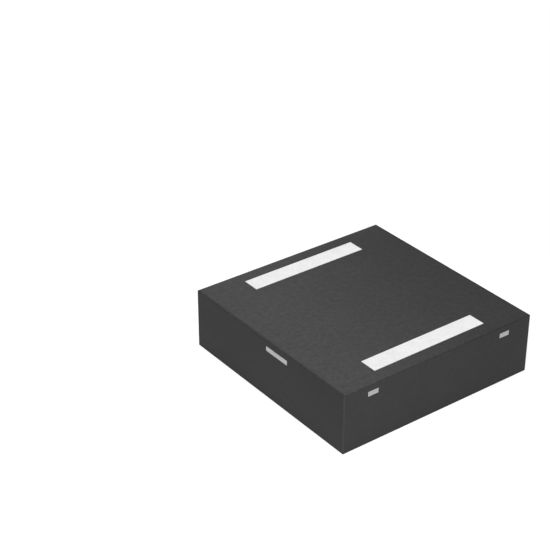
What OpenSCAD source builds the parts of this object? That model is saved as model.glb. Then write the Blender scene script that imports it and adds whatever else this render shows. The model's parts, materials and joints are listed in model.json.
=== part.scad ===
// Two-terminal surge protection thyristor in a square, leadless moulded package.
// Millimetres. The body lies on its blank marking face, with the two soldering pads upwards (+Z).
// Origin: centre of the marking face. X runs along the pads, Y from terminal 1 to terminal 2.

/* [Body] */
// Width of the moulded body along the pads
body_x = 3.3; // [3.1:0.05:5]
// Width of the moulded body across the pads
body_y = 3.3; // [3.2:0.05:5]
// Height of the moulded body, from the marking face to the terminal face
body_h = 0.915; // [0.8:0.005:1.6]
// Radius of the outer edges
edge_r = 0.01; // [0.005:0.005:0.08]

/* [Terminal pads] */
// Length of each exposed pad
pad_len = 1.94; // [1:0.02:2.4]
// Width of each exposed pad
pad_w = 0.275; // [0.16:0.005:0.4]
// Body side to the near edge of a pad
pad_inset = 0.215; // [0.15:0.005:0.3]
// Thickness of the tin on the pads and on the tie bar ends
tin_t = 0.01; // [0.006:0.001:0.02]

/* [Lead frame] */
// Thickness of the copper sheet that both frames are etched from
frame_t = 0.17; // [0.13:0.01:0.25]
// Depth that the sheet is etched back on its soldering side, away from the pads
etch_depth = 0.095; // [0.05:0.005:0.11]
// Moulding compound between a frame and the body sides that the pads point at
frame_margin_x = 0.36; // [0.3:0.01:0.4]
// Moulding compound between a frame and the body side beside its pad
frame_margin_y = 0.13; // [0.05:0.01:0.14]
// Etched ledge of terminal 2, on the chip side of its pad
ledge = 0.16; // [0.08:0.01:0.3]
// Gap between the chip paddle of terminal 1 and the ledge of terminal 2
frame_gap = 0.2; // [0.12:0.01:0.35]
// Diameter of the mould lock holes in the paddle
lock_hole_d = 0.16; // [0.08:0.01:0.24]
// Paddle side to the centre of a lock hole
lock_hole_inset = 0.18; // [0.14:0.01:0.22]
// Distance between the lock holes along the paddle side
lock_hole_pitch = 1.4; // [0.8:0.05:1.5]

/* [Tie bars] */
// Width of a corner tie bar
corner_tie_w = 0.175; // [0.1:0.005:0.2]
// Side of a frame to the middle of a corner tie bar
corner_tie_inset = 0.125; // [0.12:0.005:0.3]
// Width of a side tie bar
side_tie_w = 0.465; // [0.2:0.005:0.8]
// Body side at terminal 1 to the middle of the side tie bars
side_tie_inset = 1.435; // [1.2:0.005:1.7]

/* [Chip] */
// Side of the square silicon chip
chip_w = 1.7; // [1.1:0.05:1.8]
// Thickness of the silicon
chip_t = 0.24; // [0.18:0.01:0.3]
// Width of the glass filled moat round each face of the chip
moat_w = 0.12; // [0.06:0.01:0.2]
// Depth of the moat
moat_d = 0.06; // [0.03:0.005:0.08]
// Bare silicon between the moat and the contact metal
contact_inset = 0.03; // [0.01:0.005:0.06]
// Thickness of the contact metal
contact_t = 0.005; // [0.003:0.001:0.01]

/* [Solder] */
// Thickness of every solder joint
solder_t = 0.03; // [0.015:0.005:0.05]

/* [Clip] */
// Thickness of the copper clip
clip_t = 0.15; // [0.1:0.01:0.2]
// Height of the boss that lands on the chip
boss_h = 0.05; // [0.02:0.005:0.08]
// Edge of the contact metal to the boss that lands on it
boss_inset = 0.05; // [0.02:0.01:0.1]
// Boss to the edge of the clip
boss_edge = 0.05; // [0.02:0.01:0.1]
// Slope of the leg between the plate and the foot, in degrees
leg_angle = 60; // [45:5:75]
// Radius inside each bend
bend_r = 0.08; // [0.04:0.01:0.1]
// Least distance of the first bend from the chip, and of the foot from the ledge's edge
leg_clear = 0.05; // [0.03:0.01:0.1]
// Width of the window through the leg
window_x = 0.4; // [0.2:0.05:0.6]
// Diameter of the vent hole through the plate
vent_d = 0.3; // [0.1:0.05:0.5]
// Outer edge of pad 2 to the end of the foot
foot_inset = 0.02; // [0.01:0.01:0.05]
// Edge of the foot to the solder on it
foot_solder_inset = 0.03; // [0.02:0.01:0.06]

/* [Hidden] */
$fn = 48;
bend_steps = 6;
cut = 0.2; // how far a cutting shape runs past what it cuts

// Places along Y
pad_1_y = -body_y / 2 + pad_inset + pad_w / 2;
pad_2_y = body_y / 2 - pad_inset - pad_w / 2;
paddle_y0 = -body_y / 2 + frame_margin_y;
frame_2_y0 = pad_2_y - pad_w / 2 - ledge;
frame_2_y1 = body_y / 2 - frame_margin_y;
paddle_y1 = frame_2_y0 - frame_gap;
chip_y = (pad_1_y + pad_w / 2 + paddle_y1) / 2;
side_tie_y = -body_y / 2 + side_tie_inset;

// Places along X
frame_x = body_x - 2 * frame_margin_x;
corner_tie_x = frame_x / 2 - corner_tie_inset;

// Heights, from the terminal face down to the plate of the clip
etch_z = body_h - etch_depth;
frame_z = body_h - frame_t;
frame_mid_z = (frame_z + etch_z) / 2;
contact_1_z = frame_z - solder_t - contact_t;
chip_z = contact_1_z - chip_t;
contact_2_z = chip_z - contact_t;
boss_z = contact_2_z - solder_t;
plate_z = boss_z - boss_h - clip_t;
foot_z = frame_z - solder_t - clip_t;

// The contact metal lies inside the moat, the boss on the contact, and the clip round the boss
contact_w = chip_w - 2 * moat_w - 2 * contact_inset;
boss_w = contact_w - 2 * boss_inset;
clip_x = boss_w + 2 * boss_edge;

// The clip's side view: two bends of one radius, joined by a straight leg
bend_mid_r = bend_r + clip_t / 2;
leg_rise = foot_z - plate_z;
leg_straight = (leg_rise - 2 * bend_mid_r * (1 - cos(leg_angle))) / sin(leg_angle);
leg_run = 2 * bend_mid_r * sin(leg_angle) + leg_straight * cos(leg_angle);
clip_y0 = chip_y - clip_x / 2;
bend_2_y = max(chip_y + chip_w / 2 + leg_run, frame_2_y0) + leg_clear;
bend_1_y = bend_2_y - leg_run;
clip_y1 = pad_2_y + pad_w / 2 - foot_inset;
foot_solder_x = clip_x - 2 * foot_solder_inset;
foot_solder_l = clip_y1 - bend_2_y - 2 * foot_solder_inset;
foot_y = (bend_2_y + clip_y1) / 2;

mould_grey = [0.19, 0.19, 0.2];
tin_white = [0.9, 0.9, 0.92];
frame_copper = [0.8, 0.5, 0.33];
clip_copper = [0.84, 0.54, 0.37];
silicon_blue = [0.36, 0.38, 0.44];
glass_green = [0.5, 0.62, 0.58];
nickel_silver = [0.75, 0.74, 0.7];
solder_grey = [0.6, 0.61, 0.63];

// A rectangle about the middle in plan, between two heights
module slab(x, y, z0, z1) {
    translate([-x / 2, -y / 2, z0])
        cube([x, y, z1 - z0]);
}

// A rectangle with round corners, about the middle
module rounded_rectangle(x, y, r) {
    square([x - 2 * r, y], center = true);
    square([x, y - 2 * r], center = true);
    for (sx = [-1, 1], sy = [-1, 1])
        translate([sx * (x / 2 - r), sy * (y / 2 - r)])
            circle(r);
}

// A block on the ground with all twelve edges rounded
module rounded_block(x, y, z, r) {
    intersection() {
        linear_extrude(z)
            rounded_rectangle(x, y, r);
        translate([0, y / 2, z / 2])
            rotate([90, 0, 0])
                linear_extrude(y)
                    rounded_rectangle(x, z, r);
        translate([-x / 2, 0, z / 2])
            rotate([90, 0, 90])
                linear_extrude(x)
                    rounded_rectangle(y, z, r);
    }
}

// A rectangle in plan about the line X = x, between two places along Y
module strip(x, w, y0, y1) {
    translate([x - w / 2, y0])
        square([w, y1 - y0]);
}

// Plan of terminal 1 behind its pad: the chip paddle and its tie bars, which run `past` the body sides
module frame_1_plan(past) {
    difference() {
        union() {
            strip(0, frame_x, paddle_y0, paddle_y1);
            strip(0, body_x + 2 * past, side_tie_y - side_tie_w / 2, side_tie_y + side_tie_w / 2);
            for (side = [-1, 1])
                strip(side * corner_tie_x, corner_tie_w, -body_y / 2 - past, paddle_y0 + corner_tie_w);
        }
        for (sx = [-1, 1], sy = [-1, 1])
            translate([sx * (frame_x / 2 - lock_hole_inset), chip_y + sy * lock_hole_pitch / 2])
                circle(d = lock_hole_d);
    }
}

// Plan of terminal 2 behind its pad: the ledge and its tie bars
module frame_2_plan(past) {
    strip(0, frame_x, frame_2_y0, frame_2_y1);
    for (side = [-1, 1])
        strip(side * corner_tie_x, corner_tie_w, frame_2_y1 - corner_tie_w, body_y / 2 + past);
}

// A frame of the given plan, with its pad strip at y as high as pad_top
module frame_shape(y, pad_top) {
    translate([0, 0, frame_z])
        linear_extrude(etch_z - frame_z)
            children();
    translate([0, y, 0])
        slab(pad_len, pad_w, frame_mid_z, pad_top);
}

// Chip paddle, pad and tie bars of terminal 1: one etched piece of copper
module terminal_1_frame() {
    color(frame_copper)
        frame_shape(pad_1_y, body_h)
            frame_1_plan(-tin_t);
}

// Ledge, pad and tie bars of terminal 2: one etched piece of copper
module terminal_2_frame() {
    color(frame_copper)
        frame_shape(pad_2_y, body_h)
            frame_2_plan(-tin_t);
}

// Tin on an exposed pad, standing proud of the terminal face
module pad_tin(y) {
    color(tin_white)
        translate([0, y, 0])
            slab(pad_len, pad_w, body_h, body_h + tin_t);
}

// Tin on the end of a corner tie bar, flush with the body side
module corner_tie_tin(x, side) {
    color(tin_white)
        translate([x, side * (body_y - tin_t) / 2, 0])
            slab(corner_tie_w, tin_t, frame_z, etch_z);
}

// Tin on the end of a side tie bar, flush with the body side
module side_tie_tin(side) {
    color(tin_white)
        translate([side * (body_x - tin_t) / 2, side_tie_y, 0])
            slab(tin_t, side_tie_w, frame_z, etch_z);
}

// Silicon with a moat etched round both faces
module chip() {
    color(silicon_blue)
        translate([0, chip_y, 0]) {
            slab(chip_w, chip_w, chip_z + moat_d, contact_1_z - moat_d);
            slab(chip_w - 2 * moat_w, chip_w - 2 * moat_w, chip_z, contact_1_z);
        }
}

// The ring of passivation glass that fills one moat, from z0 up
module moat_glass(z0) {
    color(glass_green)
        translate([0, chip_y, 0])
            difference() {
                slab(chip_w, chip_w, z0, z0 + moat_d);
                slab(chip_w - 2 * moat_w, chip_w - 2 * moat_w, z0 - cut, z0 + moat_d + cut);
            }
}

// Contact metal on one face of the chip, from z0 up
module contact(z0) {
    color(nickel_silver)
        translate([0, chip_y, 0])
            slab(contact_w, contact_w, z0, z0 + contact_t);
}

// Solder between the paddle and the chip
module chip_solder() {
    color(solder_grey)
        translate([0, chip_y, 0])
            slab(contact_w, contact_w, frame_z - solder_t, frame_z);
}

// Solder between the chip and the boss of the clip
module clip_solder() {
    color(solder_grey)
        translate([0, chip_y, 0])
            slab(contact_w, contact_w, boss_z, contact_2_z);
}

// Solder between the foot of the clip and terminal 2
module foot_solder() {
    color(solder_grey)
        translate([0, foot_y, 0])
            slab(foot_solder_x, foot_solder_l, frame_z - solder_t, frame_z);
}

// Points along an arc about c, from angle a0 to angle a1
function arc(c, r, a0, a1) = [
    for (i = [0 : bend_steps])
        let (a = a0 + (a1 - a0) * i / bend_steps)
            c + r * [cos(a), sin(a)]
];

// Side view of the clip in Y and Z: plate, sloping leg and foot, of one thickness
module clip_profile() {
    centre_1 = [bend_1_y, plate_z + clip_t + bend_r];
    centre_2 = [bend_2_y, foot_z - bend_r];
    near = bend_r;
    far = bend_r + clip_t;
    polygon(concat(
        [[clip_y0, plate_z + clip_t], [clip_y0, plate_z]],
        arc(centre_1, far, -90, -90 + leg_angle),
        arc(centre_2, near, 90 + leg_angle, 90),
        [[clip_y1, foot_z], [clip_y1, foot_z + clip_t]],
        arc(centre_2, far, 90, 90 + leg_angle),
        arc(centre_1, near, -90 + leg_angle, -90)
    ));
}

// Shape of the clip, with its boss up to the height boss_top
module clip_shape(boss_top) {
    difference() {
        union() {
            translate([-clip_x / 2, 0, 0])
                rotate([90, 0, 90])
                    linear_extrude(clip_x)
                        clip_profile();
            translate([0, chip_y, 0])
                slab(boss_w, boss_w, plate_z + clip_t / 2, boss_top);
        }
        translate([0, chip_y, plate_z - cut])
            cylinder(d = vent_d, h = boss_top - plate_z + 2 * cut);
        translate([0, (bend_1_y + bend_2_y) / 2, 0])
            slab(window_x, bend_2_y - bend_1_y, plate_z - cut, frame_z + cut);
    }
}

// Bent copper clip from the chip to terminal 2
module clip() {
    color(clip_copper)
        clip_shape(boss_z);
}

// The hollow that the moulding compound leaves round everything inside.
// Each room runs into the next one, and the frames' rooms run out through the body.
module hollow() {
    frame_shape(pad_1_y, body_h + cut)
        frame_1_plan(cut);
    frame_shape(pad_2_y, body_h + cut)
        frame_2_plan(cut);
    translate([0, chip_y, 0]) {
        slab(chip_w, chip_w, chip_z, contact_1_z);
        slab(contact_w, contact_w, boss_z, frame_mid_z);
    }
    clip_shape(chip_z + moat_d);
    translate([0, foot_y, 0])
        slab(foot_solder_x, foot_solder_l, foot_z + clip_t / 2, frame_mid_z);
}

// Black epoxy moulding compound
module mould_body() {
    color(mould_grey)
        difference() {
            rounded_block(body_x, body_y, body_h, edge_r);
            hollow();
        }
}

mould_body();
terminal_1_frame();
terminal_2_frame();
pad_tin(pad_1_y);  // terminal_1_pad_tin
pad_tin(pad_2_y);  // terminal_2_pad_tin
corner_tie_tin(-corner_tie_x, -1);  // terminal_1_left_tie_tin
corner_tie_tin(corner_tie_x, -1);  // terminal_1_right_tie_tin
corner_tie_tin(-corner_tie_x, 1);  // terminal_2_left_tie_tin
corner_tie_tin(corner_tie_x, 1);  // terminal_2_right_tie_tin
side_tie_tin(-1);  // side_left_tie_tin
side_tie_tin(1);  // side_right_tie_tin
chip_solder();
chip();
moat_glass(contact_1_z - moat_d);  // chip_frame_side_glass
moat_glass(chip_z);  // chip_clip_side_glass
contact(contact_1_z);  // chip_frame_side_contact
contact(contact_2_z);  // chip_clip_side_contact
clip_solder();
clip();
foot_solder();
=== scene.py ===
"""Surge protection thyristor: the looks of a square leadless package, built round its CAD model.

Laid out as an add-on and run as a script. Everything is in metres, in the frame of the CAD model:
the body lies on its blank marking face at Z = 0, with both soldering pads upwards and their length
along X.
"""

import json
import math

import bmesh
import bpy
from bpy.props import FloatProperty, FloatVectorProperty, IntProperty, PointerProperty
from mathutils import Euler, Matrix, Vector

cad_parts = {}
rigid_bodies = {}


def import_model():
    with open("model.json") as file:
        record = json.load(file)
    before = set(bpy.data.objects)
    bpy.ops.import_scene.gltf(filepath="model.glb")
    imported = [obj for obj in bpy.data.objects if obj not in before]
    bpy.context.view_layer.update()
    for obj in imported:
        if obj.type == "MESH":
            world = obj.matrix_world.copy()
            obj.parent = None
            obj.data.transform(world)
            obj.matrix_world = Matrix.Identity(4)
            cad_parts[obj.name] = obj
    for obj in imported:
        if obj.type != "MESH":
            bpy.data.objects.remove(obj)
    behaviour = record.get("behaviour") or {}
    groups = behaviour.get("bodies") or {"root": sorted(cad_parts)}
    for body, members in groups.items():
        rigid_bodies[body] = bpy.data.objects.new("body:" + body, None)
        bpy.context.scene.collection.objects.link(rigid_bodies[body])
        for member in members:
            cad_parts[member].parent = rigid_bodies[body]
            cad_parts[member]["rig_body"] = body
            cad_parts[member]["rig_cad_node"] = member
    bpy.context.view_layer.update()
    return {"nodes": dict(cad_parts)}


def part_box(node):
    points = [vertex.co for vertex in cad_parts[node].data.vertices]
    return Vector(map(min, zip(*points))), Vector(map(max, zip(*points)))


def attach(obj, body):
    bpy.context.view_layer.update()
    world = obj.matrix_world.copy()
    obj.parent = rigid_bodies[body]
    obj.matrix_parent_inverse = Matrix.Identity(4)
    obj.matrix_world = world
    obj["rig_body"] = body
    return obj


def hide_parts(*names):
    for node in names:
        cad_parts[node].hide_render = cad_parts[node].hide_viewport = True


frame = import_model()

bl_info = {
    "name": "Surge protection thyristor",
    "version": (1, 0, 0),
    "blender": (4, 5, 0),
    "location": "3D View > Sidebar > Thyristor",
    "description": "Models and finishes a leadless surge protection thyristor, with its stage",
    "category": "Mesh",
}

MM = 0.001
X, Y, Z = 0, 1, 2

# Radius of the outer edges of the CAD model's body
CAD_EDGE = 0.01 * MM
# Points this near a plane lie on it
TOUCH = 0.0001 * MM
# Points this near each other are one
WELD = 0.001 * MM
# A face lies flat on a side if this much of its normal points out of it
FLAT = 0.9999
# A face of the body is a sawn wall if less than this much of its normal points up or down
STEEP = 0.5
# Edges that turn by less than this are shaded smooth
SMOOTH_ANGLE = math.radians(35)
# Faces across the rounded rim of the tin
RIM_STEPS = 3

PAD_TINS = ("terminal_1_pad_tin", "terminal_2_pad_tin")
FRONT_TIE_TINS = ("terminal_1_left_tie_tin", "terminal_1_right_tie_tin")
BACK_TIE_TINS = ("terminal_2_left_tie_tin", "terminal_2_right_tie_tin")

# Sockets of a Mix node that mixes colours
MIX_A, MIX_B, MIX_RESULT = 6, 7, 2
# Nearly all values of a noise lie in this range
NOISE = {"From Min": 0.3, "From Max": 0.7}

# The floor is this wide, and this far below the part, so that the two faces don't flicker
FLOOR_SIZE = 0.6
FLOOR_DROP = 0.001 * MM
# Share by which the paper is darkened for the camera, and the glow that makes it white again
PAPER_DIM, PAPER_GLOW = 0.75, 0.88
# The paper is clear to light that starts this near it
PAPER_CLEAR = 0.02 * MM

# Focal length, and width of the photograph, both in its pixels
FOCAL_LENGTH, PHOTO_WIDTH = 1532.05, 550


def linear(hex_colour):
    """An sRGB colour such as "#3a3a3a", as the linear red, green and blue that Blender uses."""
    parts = [int(hex_colour[i : i + 2], 16) / 255 for i in (1, 3, 5)]
    return tuple(c / 12.92 if c <= 0.04045 else ((c + 0.055) / 1.055) ** 2.4 for c in parts)


class ThyristorSizes(bpy.types.PropertyGroup):
    """Sizes of the edges, which the CAD model leaves plain."""

    body_edge: FloatProperty(
        name="Body edge",
        description="Radius of the outer edges of the moulded body",
        default=CAD_EDGE,
        min=0.002 * MM,
        max=0.08 * MM,
        precision=6,
        subtype="DISTANCE",
        unit="LENGTH",
    )
    edge_steps: IntProperty(
        name="Edge steps",
        description="Faces across each rounded edge of the body",
        default=4,
        min=2,
        max=12,
    )
    plating_edge: FloatProperty(
        name="Plating edge",
        description="Radius of the rim of the tin on a soldering pad",
        default=0.004 * MM,
        min=0.001 * MM,
        max=0.005 * MM,
        precision=6,
        subtype="DISTANCE",
        unit="LENGTH",
    )
    tie_edge: FloatProperty(
        name="Tie bar edge",
        description="Radius of the rim of the tin on the end of a tie bar",
        default=0.003 * MM,
        min=0.001 * MM,
        max=0.005 * MM,
        precision=6,
        subtype="DISTANCE",
        unit="LENGTH",
    )


def colour_property(name, description, hex_colour):
    """A colour that a user may change."""
    return FloatVectorProperty(
        name=name,
        description=description,
        default=linear(hex_colour),
        size=3,
        min=0,
        max=1,
        subtype="COLOR",
    )


class ThyristorColours(bpy.types.PropertyGroup):
    """Colours of the real materials. Each pattern varies a little about its own."""

    compound: colour_property("Moulding compound", "Filled epoxy of the body", "#3a3a3a")
    pad_tin: colour_property("Pad tin", "Matt tin on the soldering pads", "#f0f0f1")
    cut_tin: colour_property("Tie bar tin", "Tin on the cut ends of the tie bars", "#afafb0")
    frame_copper: colour_property(
        "Frame copper", "Rolled copper alloy of both lead frames", "#c07a55"
    )
    clip_copper: colour_property("Clip copper", "Stamped copper strip of the clip", "#cc8660")
    silicon: colour_property("Silicon", "Sawn and etched silicon of the chip", "#4b515d")
    glass: colour_property("Glass", "Passivation glass in the moats of the chip", "#8fa79b")
    nickel: colour_property("Nickel", "Plated contact metal of the chip", "#b9b3a7")
    solder: colour_property("Solder", "High-lead solder of the joints", "#85868a")


class ThyristorStage(bpy.types.PropertyGroup):
    """Light and floor of the picture."""

    sky: FloatProperty(
        name="Sky",
        description="Strength of the even light from all round",
        default=0.59,
        min=0,
        max=2,
    )
    key: FloatProperty(
        name="Key lamp",
        description="Light of the soft lamp above the left side, in milliwatts",
        default=0.114,
        min=0,
    )
    fill: FloatProperty(
        name="Fill lamp",
        description="Light of the soft lamp low in front, in milliwatts",
        default=0.1,
        min=0,
    )
    floor: colour_property("Floor", "Paper that the part lies on", "#f4f4f4")


def deselect():
    """Nothing is selected, since an operator acts on all that is."""
    bpy.ops.object.select_all(action="DESELECT")


def only(piece):
    """One piece is selected and active."""
    deselect()
    piece.select_set(True)
    bpy.context.view_layer.objects.active = piece


def add_block(name, low, high):
    """A block between two corners, with its place and size in its mesh."""
    deselect()
    middle = (Vector(low) + Vector(high)) / 2
    bpy.ops.mesh.primitive_cube_add(size=1, location=middle, scale=Vector(high) - Vector(low))
    bpy.ops.object.transform_apply(location=True, rotation=True, scale=True)
    piece = bpy.context.object
    piece.name = piece.data.name = name
    return piece


def select_in_edit(piece, kind, wanted):
    """Selects, in edit mode, the faces or edges for which wanted(element) is true."""
    bpy.ops.mesh.select_mode(type=kind)
    bpy.ops.mesh.select_all(action="DESELECT")
    mesh = bmesh.from_edit_mesh(piece.data)
    chosen = [e for e in (mesh.faces if kind == "FACE" else mesh.edges) if wanted(e)]
    if not chosen:
        raise RuntimeError(f"nothing to select on {piece.name}")
    for element in chosen:
        element.select = True
    mesh.select_flush_mode()
    bmesh.update_edit_mesh(piece.data)


def centre_in(face, low, high, axes):
    """True if the middle of a face lies between two corners, along the given axes."""
    middle = face.calc_center_bounds()
    return all(low[a] < middle[a] < high[a] for a in axes)


def cut_opening(piece, node, axis, side):
    """Takes out of a flat side of the body the outline of a metal end that comes through it."""
    low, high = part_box(node)
    across = [a for a in (X, Y, Z) if a != axis]

    def on_side(face):
        return face.normal[axis] * side > FLAT

    for a in across:
        for place in (low[a], high[a]):
            select_in_edit(piece, "FACE", on_side)
            point, normal = Vector(), Vector()
            point[a], normal[a] = place, 1
            bpy.ops.mesh.bisect(plane_co=point, plane_no=normal, threshold=TOUCH)

    def in_outline(face):
        return on_side(face) and centre_in(face, low, high, across)

    select_in_edit(piece, "FACE", in_outline)
    bpy.ops.mesh.delete(type="FACE")


def round_rim(piece, radius, steps, wanted):
    """Rounds the edges of a piece for which wanted(edge) is true."""
    only(piece)
    bpy.ops.object.mode_set(mode="EDIT")
    select_in_edit(piece, "EDGE", wanted)
    bpy.ops.mesh.bevel(offset=radius, segments=steps, profile=0.5, affect="EDGES")
    bpy.ops.object.mode_set(mode="OBJECT")


def finish_piece(piece, material, slot, *nodes):
    """Smooths a piece, gives it its material, and puts it in the place of CAD nodes."""
    only(piece)
    bpy.ops.object.shade_smooth_by_angle(angle=SMOOTH_ANGLE)
    bpy.ops.object.modifier_add(type="WEIGHTED_NORMAL")
    weighting = piece.modifiers[-1]
    weighting.keep_sharp = True
    bpy.ops.object.modifier_apply(modifier=weighting.name)
    piece.data.materials.clear()
    piece.data.materials.append(material)
    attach(piece, "root")
    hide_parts(*nodes)


def copy_piece(piece, name):
    """A copy with a mesh of its own."""
    only(piece)
    bpy.ops.object.duplicate(linked=False)
    copied = bpy.context.object
    copied.name = copied.data.name = name
    return copied


def finish_nodes(material, *nodes):
    """Gives CAD nodes that stay as they are their material."""
    for node in nodes:
        piece = frame["nodes"][node]
        piece.data.materials.clear()
        piece.data.materials.append(material)


def add_node(tree, kind, inputs=(), **settings):
    """Adds a node. inputs gives each socket's value, or the output that it reads."""
    node = tree.nodes.new("ShaderNode" + kind)
    for name, value in settings.items():
        setattr(node, name, value)
    for socket, value in dict(inputs).items():
        if isinstance(value, bpy.types.NodeSocket):
            tree.links.new(value, node.inputs[socket])
        else:
            node.inputs[socket].default_value = value
    return node


def new_material(name):
    """A material with an empty node tree."""
    material = bpy.data.materials.new(name)
    material.use_nodes = True
    material.node_tree.nodes.clear()
    return material, material.node_tree


def cells(size_mm):
    """The scale of a pattern whose grains are size_mm across."""
    return 1 / (size_mm * MM)


def shade(colour, factor):
    """A colour as it is where the surface is a little darker or lighter, with its alpha."""
    return (*(min(c * factor, 1) for c in colour), 1)


def epoxy_moulding_compound(colour, half_width):
    """Epoxy filled with silica and carbon black, pressed into a spark-eroded mould and then sawn
    into single parts. The eye sees a flat charcoal with a dry, very fine grain on both faces, a
    soft dark rim of painted shade round them, smoother walls with faint level lines from the saw,
    and upright corners that a painted highlight makes a little paler."""
    material, tree = new_material("epoxy_moulding_compound")
    place = add_node(tree, "TexCoord").outputs["Object"]
    sawn = add_node(tree, "Attribute", attribute_name="sawn").outputs["Fac"]
    # Spark-eroded grain is about 0.01 mm. It is drawn at 0.065 mm, so that it shows.
    grain = add_node(
        tree, "TexNoise", {"Vector": place, "Scale": cells(0.065), "Detail": 3, "Roughness": 0.6}
    ).outputs["Fac"]
    cloud = add_node(
        tree, "TexNoise", {"Vector": place, "Scale": cells(0.7), "Detail": 2, "Roughness": 0.5}
    ).outputs["Fac"]
    # Saw lines are 1.5 mm long and 0.025 mm apart, and run level round the walls. They show
    # through the grain, and the saw leaves half of its relief.
    along = add_node(
        tree, "Mapping", {"Vector": place, "Scale": (cells(1.5), cells(1.5), cells(0.025))}
    ).outputs["Vector"]
    lines = add_node(tree, "TexNoise", {"Vector": along, "Scale": 1, "Detail": 2}).outputs["Fac"]
    lined = add_node(
        tree, "Mix", {"Factor": 0.35, 2: grain, 3: lines}, data_type="FLOAT"
    ).outputs[0]
    wall = add_node(
        tree, "MapRange", {"Value": lined, **NOISE, "To Min": 0.4, "To Max": 0.6}
    ).outputs["Result"]
    relief = add_node(
        tree, "Mix", {"Factor": sawn, 2: grain, 3: wall}, data_type="FLOAT"
    ).outputs[0]
    clouded = add_node(
        tree,
        "Mix",
        {"Factor": cloud, MIX_A: shade(colour, 0.93), MIX_B: shade(colour, 1.07)},
        data_type="RGBA",
    ).outputs[MIX_RESULT]
    speck = add_node(
        tree, "MapRange", {"Value": relief, **NOISE, "To Min": 0.8, "To Max": 1.2}
    ).outputs["Result"]
    # A painted highlight makes the walls paler in a band 0.03 mm wide on either side of an upright
    # corner.
    from_middle = add_node(tree, "SeparateXYZ", {"Vector": place}).outputs
    along_x, along_y = (
        add_node(tree, "Math", {0: from_middle[axis]}, operation="ABSOLUTE").outputs[0]
        for axis in "XY"
    )
    least = add_node(tree, "Math", {0: along_x, 1: along_y}, operation="MINIMUM").outputs[0]
    # Painted highlight: each upright corner up to 0.4 paler
    painted_corner_highlight = add_node(
        tree,
        "MapRange",
        {
            "Value": least,
            "From Min": half_width - 0.03 * MM,
            "From Max": half_width,
            "To Max": 0.4,
        },
        interpolation_type="SMOOTHSTEP",
    ).outputs["Result"]
    # Painted shade darkens a soft rim round both faces: their outer 0.03 mm at the ends along X,
    # and their outer 0.013 mm, less deeply, at the ends along Y.
    painted_rim_shade_x, painted_rim_shade_y = (
        add_node(
            tree,
            "MapRange",
            {
                "Value": distance,
                "From Min": half_width - inner * MM,
                "From Max": half_width - outer * MM,
                "To Max": -painted_shade_depth,
            },
            interpolation_type="SMOOTHSTEP",
        ).outputs["Result"]
        for distance, inner, outer, painted_shade_depth in (
            (along_x, 0.037, 0.02, 0.32),
            (along_y, 0.022, 0.004, 0.25),
        )
    )
    # Painted shade of the rim, the deeper of the two
    painted_rim_shade = add_node(tree, "Math", {0: painted_rim_shade_x, 1: painted_rim_shade_y}, operation="MINIMUM").outputs[0]
    # Painted shade on the rims of the faces, painted highlight on the walls at the corners
    painted_edge_light = add_node(
        tree, "Mix", {"Factor": sawn, 2: painted_rim_shade, 3: painted_corner_highlight}, data_type="FLOAT"
    ).outputs[0]
    # The grain's specks, with the painted shade and highlight, set how bright the colour is
    speck_and_painted_light = add_node(tree, "Math", {0: speck, 1: painted_edge_light}, operation="ADD").outputs[0]
    speckled_painted_colour = add_node(
        tree, "VectorMath", {0: clouded, "Scale": speck_and_painted_light}, operation="SCALE"
    ).outputs["Vector"]
    rough = add_node(
        tree, "MapRange", {"Value": relief, **NOISE, "To Min": 0.62, "To Max": 0.74}
    ).outputs["Result"]
    bump = add_node(
        tree, "Bump", {"Height": relief, "Strength": 0.6, "Distance": 0.006 * MM}
    ).outputs["Normal"]
    surface = add_node(
        tree,
        "BsdfPrincipled",
        {
            "Base Color": speckled_painted_colour,
            "Roughness": rough,
            "IOR": 1.55,
            "Specular IOR Level": 0.1,
            "Normal": bump,
        },
    )
    add_node(tree, "OutputMaterial", {"Surface": surface.outputs["BSDF"]})
    return material


def matt_tin_plating(colour):
    """Tin electroplated without brightener on the soldering pads. The eye sees a pale, nearly
    white metal with no mirror in it, slightly mottled by its coarse crystals."""
    material, tree = new_material("matt_tin_plating")
    place = add_node(tree, "TexCoord").outputs["Object"]
    # The crystals are about 0.005 mm. They are drawn at 0.04 mm, so that they show, in patches of
    # 0.12 mm.
    crystals = add_node(
        tree, "TexNoise", {"Vector": place, "Scale": cells(0.04), "Detail": 3, "Roughness": 0.6}
    ).outputs["Fac"]
    patches = add_node(
        tree, "TexNoise", {"Vector": place, "Scale": cells(0.12), "Detail": 2}
    ).outputs["Fac"]
    mottle = add_node(
        tree, "Mix", {"Factor": 0.4, 2: crystals, 3: patches}, data_type="FLOAT"
    ).outputs[0]
    spread = add_node(
        tree, "MapRange", {"Value": mottle, "From Min": 0.35, "From Max": 0.65}
    ).outputs["Result"]
    tone = add_node(
        tree,
        "Mix",
        {"Factor": spread, MIX_A: shade(colour, 0.93), MIX_B: shade(colour, 1.04)},
        data_type="RGBA",
    ).outputs[MIX_RESULT]
    rough = add_node(
        tree, "MapRange", {"Value": crystals, **NOISE, "To Min": 0.3, "To Max": 0.4}
    ).outputs["Result"]
    bump = add_node(
        tree, "Bump", {"Height": crystals, "Strength": 0.3, "Distance": 0.001 * MM}
    ).outputs["Normal"]
    surface = add_node(
        tree,
        "BsdfPrincipled",
        {"Base Color": tone, "Metallic": 1, "Roughness": rough, "Normal": bump},
    )
    add_node(tree, "OutputMaterial", {"Surface": surface.outputs["BSDF"]})
    return material


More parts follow.
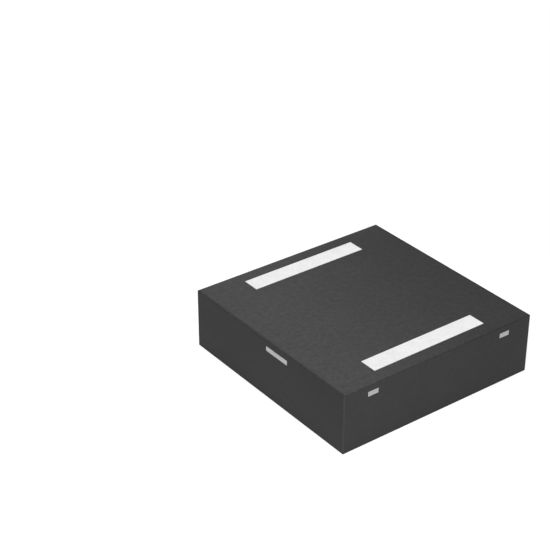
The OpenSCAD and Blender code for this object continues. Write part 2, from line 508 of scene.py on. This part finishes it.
def saw_smeared_tin(colour):
    """Tin on the ends of the tie bars, dragged level by the saw. The eye sees a duller, greyer
    metal than the pads, with faint streaks along each end."""
    material, tree = new_material("saw_smeared_tin")
    place = add_node(tree, "TexCoord").outputs["Object"]
    # The streaks are 0.2 mm long. They are drawn 0.012 mm apart, as close as still shows.
    along = add_node(
        tree, "Mapping", {"Vector": place, "Scale": (cells(0.2), cells(0.2), cells(0.012))}
    ).outputs["Vector"]
    streaks = add_node(tree, "TexNoise", {"Vector": along, "Scale": 1, "Detail": 2}).outputs["Fac"]
    spread = add_node(tree, "MapRange", {"Value": streaks, **NOISE}).outputs["Result"]
    tone = add_node(
        tree,
        "Mix",
        {"Factor": spread, MIX_A: shade(colour, 0.86), MIX_B: shade(colour, 1.12)},
        data_type="RGBA",
    ).outputs[MIX_RESULT]
    rough = add_node(
        tree, "MapRange", {"Value": streaks, **NOISE, "To Min": 0.5, "To Max": 0.38}
    ).outputs["Result"]
    bump = add_node(
        tree, "Bump", {"Height": streaks, "Strength": 0.3, "Distance": 0.001 * MM}
    ).outputs["Normal"]
    surface = add_node(
        tree,
        "BsdfPrincipled",
        {"Base Color": tone, "Metallic": 1, "Roughness": rough, "Normal": bump},
    )
    add_node(tree, "OutputMaterial", {"Surface": surface.outputs["BSDF"]})
    return material


def rolled_copper(name, colour, line_mm):
    """Copper alloy sheet. Rolling leaves fine lines along X, line_mm apart, and heat from the
    mould darkens the metal in soft patches. The eye sees a brown-red satin metal."""
    material, tree = new_material(name)
    place = add_node(tree, "TexCoord").outputs["Object"]
    # The lines are 0.6 mm long, and the patches of heat 0.5 mm wide.
    along = add_node(
        tree, "Mapping", {"Vector": place, "Scale": (cells(0.6), cells(line_mm), cells(line_mm))}
    ).outputs["Vector"]
    lines = add_node(tree, "TexNoise", {"Vector": along, "Scale": 1, "Detail": 3}).outputs["Fac"]
    heat = add_node(
        tree, "TexNoise", {"Vector": place, "Scale": cells(0.5), "Detail": 2}
    ).outputs["Fac"]
    mottle = add_node(
        tree, "Mix", {"Factor": 0.5, 2: lines, 3: heat}, data_type="FLOAT"
    ).outputs[0]
    tone = add_node(
        tree,
        "Mix",
        {"Factor": mottle, MIX_A: shade(colour, 0.72), MIX_B: shade(colour, 1.22)},
        data_type="RGBA",
    ).outputs[MIX_RESULT]
    rough = add_node(
        tree, "MapRange", {"Value": lines, **NOISE, "To Min": 0.26, "To Max": 0.42}
    ).outputs["Result"]
    bump = add_node(
        tree, "Bump", {"Height": lines, "Strength": 0.3, "Distance": 0.001 * MM}
    ).outputs["Normal"]
    surface = add_node(
        tree,
        "BsdfPrincipled",
        {"Base Color": tone, "Metallic": 1, "Roughness": rough, "Normal": bump},
    )
    add_node(tree, "OutputMaterial", {"Surface": surface.outputs["BSDF"]})
    return material


def sawn_silicon(colour):
    """Silicon, lapped, diffused and sawn from its wafer. The eye sees a hard blue-grey with a low
    shine and fine saw lines round its sides."""
    material, tree = new_material("sawn_silicon")
    place = add_node(tree, "TexCoord").outputs["Object"]
    # The saw lines are 0.3 mm long and 0.008 mm apart.
    along = add_node(
        tree, "Mapping", {"Vector": place, "Scale": (cells(0.3), cells(0.3), cells(0.008))}
    ).outputs["Vector"]
    lines = add_node(tree, "TexNoise", {"Vector": along, "Scale": 1, "Detail": 2}).outputs["Fac"]
    tone = add_node(
        tree,
        "Mix",
        {"Factor": lines, MIX_A: shade(colour, 0.8), MIX_B: shade(colour, 1.2)},
        data_type="RGBA",
    ).outputs[MIX_RESULT]
    rough = add_node(
        tree, "MapRange", {"Value": lines, **NOISE, "To Min": 0.22, "To Max": 0.36}
    ).outputs["Result"]
    bump = add_node(
        tree, "Bump", {"Height": lines, "Strength": 0.4, "Distance": 0.001 * MM}
    ).outputs["Normal"]
    surface = add_node(
        tree,
        "BsdfPrincipled",
        {"Base Color": tone, "Metallic": 0.35, "Roughness": rough, "IOR": 1.8, "Normal": bump},
    )
    add_node(tree, "OutputMaterial", {"Surface": surface.outputs["BSDF"]})
    return material


def passivation_glass(colour):
    """Glass powder fused in the moats of the chip. The eye sees a cloudy green glaze with small
    bubbles in it."""
    material, tree = new_material("passivation_glass")
    place = add_node(tree, "TexCoord").outputs["Object"]
    # The bubbles are about 0.03 mm wide, and the cloudiness varies over 0.15 mm.
    bubbles = add_node(
        tree, "TexVoronoi", {"Vector": place, "Scale": cells(0.03)}, feature="SMOOTH_F1"
    ).outputs["Distance"]
    haze = add_node(
        tree, "TexNoise", {"Vector": place, "Scale": cells(0.15), "Detail": 3}
    ).outputs["Fac"]
    tone = add_node(
        tree,
        "Mix",
        {"Factor": haze, MIX_A: shade(colour, 0.75), MIX_B: shade(colour, 1.15)},
        data_type="RGBA",
    ).outputs[MIX_RESULT]
    rough = add_node(
        tree,
        "MapRange",
        {"Value": bubbles, "From Min": 0.1, "From Max": 0.6, "To Min": 0.3, "To Max": 0.12},
    ).outputs["Result"]
    bump = add_node(
        tree, "Bump", {"Height": bubbles, "Strength": 0.2, "Distance": 0.002 * MM}
    ).outputs["Normal"]
    surface = add_node(
        tree,
        "BsdfPrincipled",
        {
            "Base Color": tone,
            "Roughness": rough,
            "IOR": 1.6,
            "Transmission Weight": 0.35,
            "Normal": bump,
        },
    )
    add_node(tree, "OutputMaterial", {"Surface": surface.outputs["BSDF"]})
    return material


def plated_nickel(colour):
    """Nickel plated on the silicon as the chip's contacts. The eye sees a warm grey satin metal
    with fine nodules."""
    material, tree = new_material("plated_nickel")
    place = add_node(tree, "TexCoord").outputs["Object"]
    # The nodules are about 0.015 mm wide.
    nodules = add_node(
        tree, "TexVoronoi", {"Vector": place, "Scale": cells(0.015)}, feature="SMOOTH_F1"
    ).outputs["Distance"]
    tone = add_node(
        tree,
        "Mix",
        {"Factor": nodules, MIX_A: shade(colour, 1.08), MIX_B: shade(colour, 0.85)},
        data_type="RGBA",
    ).outputs[MIX_RESULT]
    rough = add_node(
        tree, "MapRange", {"Value": nodules, "From Max": 0.6, "To Min": 0.3, "To Max": 0.45}
    ).outputs["Result"]
    bump = add_node(
        tree, "Bump", {"Height": nodules, "Strength": 0.3, "Distance": 0.001 * MM}, invert=True
    ).outputs["Normal"]
    surface = add_node(
        tree,
        "BsdfPrincipled",
        {"Base Color": tone, "Metallic": 1, "Roughness": rough, "Normal": bump},
    )
    add_node(tree, "OutputMaterial", {"Surface": surface.outputs["BSDF"]})
    return material


def high_lead_solder(colour):
    """Solder that has melted and frozen between two parts. The eye sees a dull blue-grey metal
    with a frosted, crystalline skin."""
    material, tree = new_material("high_lead_solder")
    place = add_node(tree, "TexCoord").outputs["Object"]
    # The crystals are about 0.06 mm wide, and the frost on them 0.02 mm.
    crystals = add_node(
        tree, "TexVoronoi", {"Vector": place, "Scale": cells(0.06)}, feature="F1"
    ).outputs["Distance"]
    frost = add_node(
        tree, "TexNoise", {"Vector": place, "Scale": cells(0.02), "Detail": 3}
    ).outputs["Fac"]
    mottle = add_node(
        tree, "Mix", {"Factor": 0.5, 2: crystals, 3: frost}, data_type="FLOAT"
    ).outputs[0]
    tone = add_node(
        tree,
        "Mix",
        {"Factor": mottle, MIX_A: shade(colour, 0.8), MIX_B: shade(colour, 1.2)},
        data_type="RGBA",
    ).outputs[MIX_RESULT]
    rough = add_node(
        tree, "MapRange", {"Value": frost, **NOISE, "To Min": 0.42, "To Max": 0.6}
    ).outputs["Result"]
    bump = add_node(
        tree, "Bump", {"Height": mottle, "Strength": 0.4, "Distance": 0.002 * MM}
    ).outputs["Normal"]
    surface = add_node(
        tree,
        "BsdfPrincipled",
        {"Base Color": tone, "Metallic": 1, "Roughness": rough, "Normal": bump},
    )
    add_node(tree, "OutputMaterial", {"Surface": surface.outputs["BSDF"]})
    return material


class THYRISTOR_OT_body(bpy.types.Operator):
    """Moulded body: a block with rounded edges, open where metal comes through it, over the hollow
    that the metal and the chip fill"""

    bl_idname = "thyristor.body"
    bl_label = "Moulded body"

    def execute(self, context):
        sizes = context.scene.thyristor_sizes
        low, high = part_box("mould_body")
        body = add_block("moulded_body", low, high)
        round_rim(body, sizes.body_edge, sizes.edge_steps, lambda edge: True)

        only(body)
        bpy.ops.object.mode_set(mode="EDIT")
        for node in PAD_TINS:
            cut_opening(body, node, Z, 1)
        for node in FRONT_TIE_TINS:
            cut_opening(body, node, Y, -1)
        for node in BACK_TIE_TINS:
            cut_opening(body, node, Y, 1)
        cut_opening(body, "side_left_tie_tin", X, -1)
        cut_opening(body, "side_right_tie_tin", X, 1)
        bpy.ops.object.mode_set(mode="OBJECT")

        hollow = self.hollow(low, high)
        only(body)
        hollow.select_set(True)
        bpy.ops.object.join()
        bpy.ops.object.mode_set(mode="EDIT")
        bpy.ops.mesh.select_all(action="SELECT")
        bpy.ops.mesh.remove_doubles(threshold=WELD)
        bpy.ops.object.mode_set(mode="OBJECT")
        self.mark_faces(body)
        finish_piece(
            body,
            epoxy_moulding_compound(context.scene.thyristor_colours.compound, high.x),
            "mould_compound",
            "mould_body",
        )
        return {"FINISHED"}

    @staticmethod
    def hollow(low, high):
        """The inner walls of the CAD body, from a copy of it whose outer faces are taken off."""
        copied = copy_piece(frame["nodes"]["mould_body"], "hollow")
        copied.parent = None
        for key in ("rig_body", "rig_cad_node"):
            del copied[key]
        bpy.ops.object.mode_set(mode="EDIT")
        bpy.ops.mesh.select_all(action="SELECT")
        bpy.ops.mesh.remove_doubles(threshold=WELD)
        # A hair more than the rounded edge takes up
        reach = CAD_EDGE * 1.01

        def outer(face):
            points = [vert.co for vert in face.verts]
            return any(
                all(abs(p[a] - end) < reach for p in points)
                for a in (X, Y, Z)
                for end in (low[a], high[a])
            )

        select_in_edit(copied, "FACE", outer)
        bpy.ops.mesh.delete(type="FACE")
        bpy.ops.object.mode_set(mode="OBJECT")
        return copied

    @staticmethod
    def mark_faces(body):
        """Writes on each face, for the compound's pattern, whether the saw made it."""
        sawn = body.data.attributes.new("sawn", "FLOAT", "FACE")
        for face in body.data.polygons:
            sawn.data[face.index].value = float(abs(face.normal.z) < STEEP)


class THYRISTOR_OT_pad_platings(bpy.types.Operator):
    """Tin on both soldering pads: one thin plate with a rounded rim, and its copy"""

    bl_idname = "thyristor.pad_platings"
    bl_label = "Pad platings"

    def execute(self, context):
        edge = context.scene.thyristor_sizes.plating_edge
        tin = matt_tin_plating(context.scene.thyristor_colours.pad_tin)
        (low, high), (far_low, _) = (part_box(node) for node in PAD_TINS)
        near = add_block("terminal_1_pad_plating", low, high)
        middle = (low.z + high.z) / 2
        round_rim(near, edge, RIM_STEPS, lambda e: any(vert.co.z > middle for vert in e.verts))
        far = copy_piece(near, "terminal_2_pad_plating")
        bpy.ops.object.mode_set(mode="EDIT")
        bpy.ops.mesh.select_all(action="SELECT")
        bpy.ops.transform.translate(value=far_low - low)
        bpy.ops.object.mode_set(mode="OBJECT")
        for piece, node in zip((near, far), PAD_TINS):
            finish_piece(piece, tin, "tin", node)
        return {"FINISHED"}


class THYRISTOR_OT_tie_ends(bpy.types.Operator):
    """Tin on the cut ends of the six tie bars, flush with the walls of the body"""

    bl_idname = "thyristor.tie_ends"
    bl_label = "Tie bar ends"

    def execute(self, context):
        edge = context.scene.thyristor_sizes.tie_edge
        tin = saw_smeared_tin(context.scene.thyristor_colours.cut_tin)
        corner = self.end("terminal_1_left_tie_end", FRONT_TIE_TINS[0], Y, -1, edge)
        side = self.end("side_left_tie_end", "side_left_tie_tin", X, -1, edge)
        made = [(corner, FRONT_TIE_TINS[0]), (side, "side_left_tie_tin")]
        for original, name, node, half_turn in (
            (corner, "terminal_1_right_tie_end", FRONT_TIE_TINS[1], False),
            (corner, "terminal_2_left_tie_end", BACK_TIE_TINS[0], True),
            (corner, "terminal_2_right_tie_end", BACK_TIE_TINS[1], True),
            (side, "side_right_tie_end", "side_right_tie_tin", True),
        ):
            made.append((self.copy_end(original, name, node, half_turn), node))
        for piece, node in made:
            finish_piece(piece, tin, "tin", node)
        return {"FINISHED"}

    @staticmethod
    def end(name, node, axis, side, edge):
        """One plate of tin, with the rim of its outer face rounded."""
        low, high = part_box(node)
        piece = add_block(name, low, high)
        outer = low[axis] if side < 0 else high[axis]

        def on_rim(e):
            return all(abs(vert.co[axis] - outer) < TOUCH for vert in e.verts)

        round_rim(piece, edge, RIM_STEPS, on_rim)
        return piece

    @staticmethod
    def copy_end(original, name, node, half_turn):
        """A copy of a plate at another bar's end, turned half round for the opposite wall."""
        piece = copy_piece(original, name)
        bpy.ops.object.mode_set(mode="EDIT")
        bpy.ops.mesh.select_all(action="SELECT")
        if half_turn:
            bpy.ops.transform.rotate(value=math.pi, orient_axis="Z", center_override=(0, 0, 0))
        bpy.ops.object.mode_set(mode="OBJECT")
        low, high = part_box(node)
        corners = [vert.co for vert in piece.data.vertices]
        middle = Vector(
            (min(c[a] for c in corners) + max(c[a] for c in corners)) / 2 for a in (X, Y, Z)
        )
        bpy.ops.object.mode_set(mode="EDIT")
        bpy.ops.mesh.select_all(action="SELECT")
        bpy.ops.transform.translate(value=(low + high) / 2 - middle)
        bpy.ops.object.mode_set(mode="OBJECT")
        return piece


class THYRISTOR_OT_frames(bpy.types.Operator):
    """Finish of both lead frames, whose CAD shapes stay"""

    bl_idname = "thyristor.frames"
    bl_label = "Lead frames"

    def execute(self, context):
        colour = context.scene.thyristor_colours.frame_copper
        copper = rolled_copper("etched_copper_alloy", colour, line_mm=0.02)
        finish_nodes(copper, "terminal_1_frame", "terminal_2_frame")
        return {"FINISHED"}


class THYRISTOR_OT_chip(bpy.types.Operator):
    """Finish of the chip, and of the glass and contact metal on it, whose CAD shapes stay"""

    bl_idname = "thyristor.chip"
    bl_label = "Chip"

    def execute(self, context):
        colours = context.scene.thyristor_colours
        finish_nodes(sawn_silicon(colours.silicon), "chip")
        glass = passivation_glass(colours.glass)
        finish_nodes(glass, "chip_frame_side_glass", "chip_clip_side_glass")
        nickel = plated_nickel(colours.nickel)
        finish_nodes(nickel, "chip_frame_side_contact", "chip_clip_side_contact")
        return {"FINISHED"}


class THYRISTOR_OT_clip(bpy.types.Operator):
    """Finish of the clip and of the three solder joints, whose CAD shapes stay"""

    bl_idname = "thyristor.clip"
    bl_label = "Clip and solder"

    def execute(self, context):
        colours = context.scene.thyristor_colours
        finish_nodes(rolled_copper("stamped_copper", colours.clip_copper, line_mm=0.03), "clip")
        solder = high_lead_solder(colours.solder)
        finish_nodes(solder, "chip_solder", "clip_solder", "foot_solder")
        return {"FINISHED"}


def seen_directly(tree):
    """1 for what the camera, a reflection or glass shows, 0 for light that falls on surfaces."""
    path = add_node(tree, "LightPath").outputs
    direct = add_node(
        tree,
        "Math",
        {0: path["Is Camera Ray"], 1: path["Is Glossy Ray"]},
        operation="ADD",
        use_clamp=True,
    ).outputs[0]
    return add_node(
        tree, "Math", {0: direct, 1: path["Is Transmission Ray"]}, operation="ADD", use_clamp=True
    ).outputs[0]


def white_paper(colour):
    """Plain matt paper. The camera sees it nearly as bright as the white behind it, with a soft
    shadow of the part. It is clear from below, and to light that leaves the part just over it, so
    the marking face that lies on it can be seen and is lit."""
    material, tree = new_material("white_paper")
    matt = add_node(tree, "BsdfDiffuse", {"Color": (*colour, 1)}).outputs["BSDF"]
    black = add_node(tree, "BsdfDiffuse", {"Color": (0, 0, 0, 1)}).outputs["BSDF"]
    seen = seen_directly(tree)
    share = add_node(tree, "Math", {0: seen, 1: PAPER_DIM}, operation="MULTIPLY").outputs[0]
    dimmed = add_node(tree, "MixShader", {"Fac": share, 1: matt, 2: black}).outputs[0]
    strength = add_node(tree, "Math", {0: seen, 1: PAPER_GLOW}, operation="MULTIPLY").outputs[0]
    white = add_node(tree, "Emission", {"Strength": strength}).outputs["Emission"]
    paper = add_node(tree, "AddShader", {0: dimmed, 1: white}).outputs[0]
    length = add_node(tree, "LightPath").outputs["Ray Length"]
    near = add_node(tree, "Math", {0: length, 1: PAPER_CLEAR}, operation="LESS_THAN").outputs[0]
    under = add_node(tree, "NewGeometry").outputs["Backfacing"]
    either = add_node(tree, "Math", {0: near, 1: under}, operation="MAXIMUM").outputs[0]
    clear = add_node(tree, "BsdfTransparent").outputs["BSDF"]
    surface = add_node(tree, "MixShader", {"Fac": either, 1: paper, 2: clear})
    add_node(tree, "OutputMaterial", {"Surface": surface.outputs[0]})
    return material


class THYRISTOR_OT_stage(bpy.types.Operator):
    """Floor, light and camera of the picture"""

    bl_idname = "thyristor.stage"
    bl_label = "Stage"

    def execute(self, context):
        stage = context.scene.thyristor_stage
        deselect()
        bpy.ops.mesh.primitive_plane_add(size=FLOOR_SIZE, location=(0, 0, -FLOOR_DROP))
        bpy.ops.object.transform_apply(location=True)
        floor = context.object
        floor.name = "floor"
        floor.data.materials.append(white_paper(stage.floor))

        self.sky(context.scene, stage.sky)
        key = self.lamp(
            "key_lamp",
            place=(-1.6, -0.6, 5),
            turn=(0, 0, math.radians(-11)),
            size=(1, 10),
            milliwatts=stage.key,
        )
        key.spread = math.radians(106)
        low_front = Vector((0, -8, 4))
        towards_part = low_front.to_track_quat("Z", "Y").to_euler()
        self.lamp(
            "fill_lamp",
            place=low_front,
            turn=towards_part,
            size=(8, 8),
            milliwatts=stage.fill,
        )
        self.camera(context.scene)
        return {"FINISHED"}

    @staticmethod
    def sky(scene, strength):
        """Even light from all round, which the camera and reflections see as plain white."""
        world = bpy.data.worlds.new("even_sky")
        world.use_nodes = True
        tree = world.node_tree
        tree.nodes.clear()
        white = (1, 1, 1, 1)
        light = add_node(tree, "Background", {"Color": white, "Strength": strength}).outputs[0]
        seen = add_node(tree, "Background", {"Color": white, "Strength": 1}).outputs[0]
        mixed = add_node(tree, "MixShader", {"Fac": seen_directly(tree), 1: light, 2: seen})
        add_node(tree, "OutputWorld", {"Surface": mixed.outputs[0]})
        scene.world = world

    @staticmethod
    def lamp(name, place, turn, size, milliwatts):
        """A soft box, which no reflection shows. Its place and size are in millimetres."""
        deselect()
        bpy.ops.object.light_add(type="AREA", location=Vector(place) * MM, rotation=turn)
        lamp = bpy.context.object
        lamp.name = name
        lamp.data.shape = "RECTANGLE"
        lamp.data.size, lamp.data.size_y = size[0] * MM, size[1] * MM
        lamp.data.energy = milliwatts / 1000
        lamp.visible_glossy = False
        return lamp.data

    @staticmethod
    def camera(scene):
        """The camera, at the photograph's angle, distance and framing."""
        deselect()
        azimuth, elevation = math.radians(-36.839), math.radians(30.076)
        bpy.ops.object.camera_add(
            location=Vector((-11.954, -13.939, 11.968)) * MM,
            rotation=Euler((math.pi / 2 - elevation, 0, azimuth)),
        )
        camera = bpy.context.object
        camera.data.sensor_width = 36
        camera.data.lens = FOCAL_LENGTH / PHOTO_WIDTH * camera.data.sensor_width
        camera.data.clip_start = 1 * MM
        camera.data.clip_end = 1
        scene.camera = camera
        scene.view_settings.view_transform = "Standard"


OPERATORS = (
    THYRISTOR_OT_body,
    THYRISTOR_OT_pad_platings,
    THYRISTOR_OT_tie_ends,
    THYRISTOR_OT_frames,
    THYRISTOR_OT_chip,
    THYRISTOR_OT_clip,
    THYRISTOR_OT_stage,
)


class THYRISTOR_PT_pieces(bpy.types.Panel):
    """Lists the pieces, with their sizes and colours"""

    bl_label = "Surge protection thyristor"
    bl_idname = "THYRISTOR_PT_pieces"
    bl_space_type = "VIEW_3D"
    bl_region_type = "UI"
    bl_category = "Thyristor"

    def draw(self, context):
        for operator in OPERATORS:
            self.layout.operator(operator.bl_idname)
        for group in GROUPS:
            box = self.layout.box()
            owner = getattr(context.scene, group)
            for name in owner.__annotations__:
                box.prop(owner, name)


GROUPS = {
    "thyristor_sizes": ThyristorSizes,
    "thyristor_colours": ThyristorColours,
    "thyristor_stage": ThyristorStage,
}
CLASSES = (*GROUPS.values(), *OPERATORS, THYRISTOR_PT_pieces)


def register():
    for each in CLASSES:
        bpy.utils.register_class(each)
    for name, group in GROUPS.items():
        setattr(bpy.types.Scene, name, PointerProperty(type=group))


def unregister():
    for name in GROUPS:
        delattr(bpy.types.Scene, name)
    for each in reversed(CLASSES):
        bpy.utils.unregister_class(each)


def main():
    """Builds every piece and the stage."""
    register()
    for operator in OPERATORS:
        group, name = operator.bl_idname.split(".")
        getattr(getattr(bpy.ops, group), name)()


if __name__ == "__main__":
    main()
